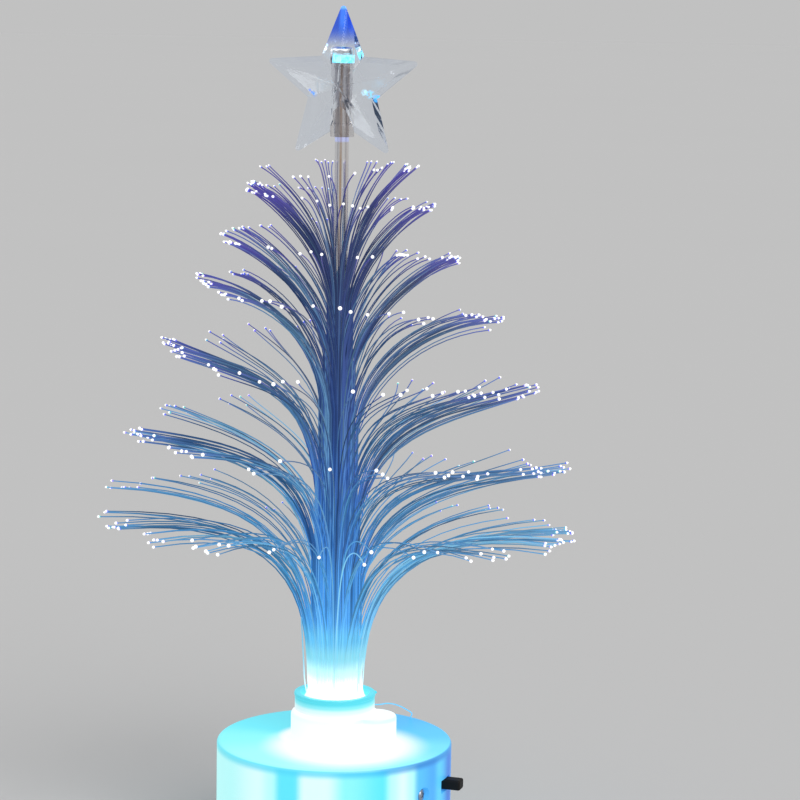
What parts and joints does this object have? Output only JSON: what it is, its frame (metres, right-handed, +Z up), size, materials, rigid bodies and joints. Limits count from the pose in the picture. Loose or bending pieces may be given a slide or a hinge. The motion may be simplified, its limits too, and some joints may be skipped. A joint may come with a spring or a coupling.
{
  "type": "fibre optic christmas tree",
  "caption": "Battery-lit tabletop fibre optic tree: round translucent lamp base, tiered fountain of light fibres around a clear rod, and a clear star on top.",
  "frame": {"origin": "on the table, under the middle of the round base", "axes": "+Z up along the tree, -Y out of the front, +X to the viewer's right, the side with the switch"},
  "size_m": [0.0967, 0.0966, 0.1809],
  "materials": {
    "base_plastic": "frosted, translucent, lit from inside",
    "cover_plastic": "fine moulded texture",
    "black_plastic": "moulded",
    "foot_rubber": "matt",
    "zinc_steel": "zinc plated",
    "nickel_plate": "nickel plated",
    "board_laminate": "bare laminate",
    "lamp_lens": "clear epoxy",
    "resistor_coat": "enamelled",
    "red_sleeve": "wire insulation",
    "black_sleeve": "wire insulation",
    "blue_sleeve": "wire insulation",
    "clear_glue": "set hot-melt glue",
    "clear_acrylic": "clear acrylic rod",
    "light_fibre": "side-glowing plastic fibre",
    "clear_styrene": "clear moulded star"
  },
  "bodies": {
    "base": {"base_housing": "base_plastic", "fibre_socket": "base_plastic", "bottom_cover": "cover_plastic", "rubber_foot_1": "foot_rubber", "rubber_foot_2": "foot_rubber", "rubber_foot_3": "foot_rubber", "cover_screw_1": "zinc_steel", "cover_screw_2": "zinc_steel", "cover_screw_3": "zinc_steel", "board_screw": "zinc_steel", "switch_screw_front": "zinc_steel", "switch_screw_back": "zinc_steel", "button_cell_1": "nickel_plate", "button_cell_2": "nickel_plate", "button_cell_3": "nickel_plate", "contact_positive": "nickel_plate", "contact_negative": "nickel_plate", "led_board": "board_laminate", "led": "lamp_lens", "resistor": "resistor_coat", "switch_plate": "zinc_steel", "switch_body": "black_plastic", "switch_terminal_1": "nickel_plate", "switch_terminal_2": "nickel_plate", "switch_terminal_3": "nickel_plate", "red_lead": "red_sleeve", "blue_lead": "blue_sleeve", "black_lead": "black_sleeve", "glue_bead": "clear_glue", "centre_rod": "clear_acrylic", "fibre_tier_1": "light_fibre", "fibre_tier_2": "light_fibre", "fibre_tier_3": "light_fibre", "fibre_tier_4": "light_fibre", "fibre_tier_5": "light_fibre", "fibre_tier_6": "light_fibre", "fibre_tier_7": "light_fibre"},
    "lever": {"switch_lever": "black_plastic"},
    "door": {"battery_door": "cover_plastic"},
    "star": {"star_front": "clear_styrene", "star_back": "clear_styrene", "star_socket": "clear_styrene"}
  },
  "joints": [
    {"name": "switch_slide", "type": "slide", "parent": "base", "child": "lever", "axis": [-0.3239, -0.9461, 0], "range_m": [0, 0.002]},
    {"name": "door_hinge", "type": "hinge", "parent": "base", "child": "door", "pos_m": [-0.0127, 0, 0.00175], "axis": [0, 1, 0], "range_deg": [0, 95]},
    {"name": "star_lift", "type": "slide", "parent": "base", "child": "star", "axis": [0, 0, 1], "range_m": [0, 0.018]}
  ]
}
